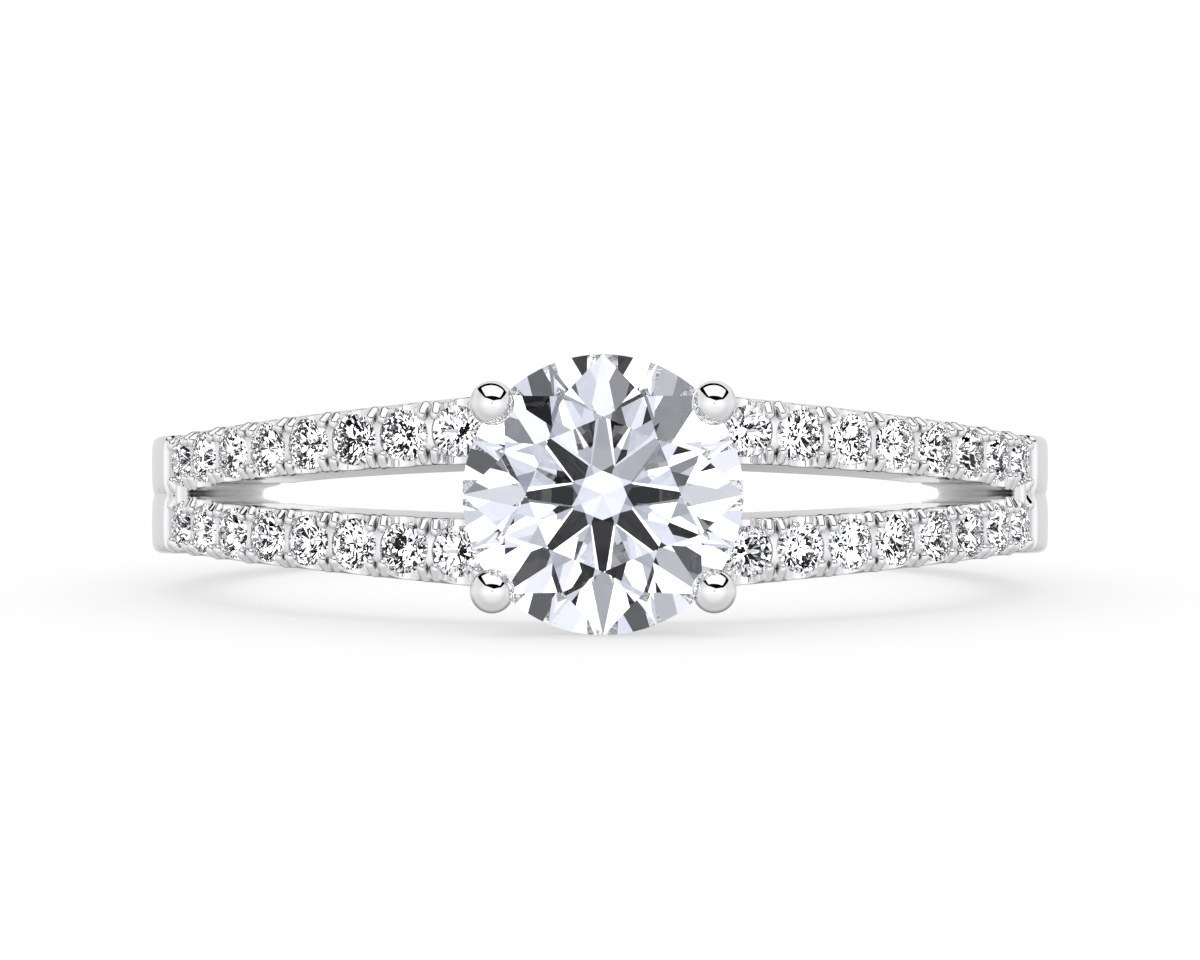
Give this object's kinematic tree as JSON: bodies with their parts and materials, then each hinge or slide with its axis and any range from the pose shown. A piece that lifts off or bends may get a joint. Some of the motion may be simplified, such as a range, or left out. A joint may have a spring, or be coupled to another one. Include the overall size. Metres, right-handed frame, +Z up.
{
  "type": "split-shank ring with a round centre stone",
  "caption": "Split-shank finger ring: rows of small round stones part from a plain band and meet a head whose ball-tipped prongs hold a large round brilliant.",
  "frame": {"origin": "middle of the finger hole, on its axis, halfway between the two sides of the plain band", "axes": "the ring lies on its side as it rests on a table: +X across the ring, -Y from the middle of the hole towards the centre stone, +Z up, with the hole's axis 4.8 degrees from +Z because the centre stone props up the head"},
  "size_m": [0.021, 0.0244, 0.0064],
  "materials": {
    "white_gold": "mirror polished",
    "centre_diamond": "polished facets",
    "pave_diamond": "polished facets"
  },
  "bodies": {
    "root": {"shank_and_head": "white_gold", "centre_stone": "centre_diamond", "pave_stone_01": "pave_diamond", "pave_stone_02": "pave_diamond", "pave_stone_03": "pave_diamond", "pave_stone_04": "pave_diamond", "pave_stone_05": "pave_diamond", "pave_stone_06": "pave_diamond", "pave_stone_07": "pave_diamond", "pave_stone_08": "pave_diamond", "pave_stone_09": "pave_diamond", "pave_stone_10": "pave_diamond", "pave_stone_11": "pave_diamond", "pave_stone_12": "pave_diamond", "pave_stone_13": "pave_diamond", "pave_stone_14": "pave_diamond", "pave_stone_15": "pave_diamond", "pave_stone_16": "pave_diamond", "pave_stone_17": "pave_diamond", "pave_stone_18": "pave_diamond", "pave_stone_19": "pave_diamond", "pave_stone_20": "pave_diamond", "pave_stone_21": "pave_diamond", "pave_stone_22": "pave_diamond", "pave_stone_23": "pave_diamond", "pave_stone_24": "pave_diamond", "pave_stone_25": "pave_diamond", "pave_stone_26": "pave_diamond", "pave_stone_27": "pave_diamond", "pave_stone_28": "pave_diamond", "pave_stone_29": "pave_diamond", "pave_stone_30": "pave_diamond", "pave_stone_31": "pave_diamond", "pave_stone_32": "pave_diamond"}
  },
  "joints": []
}
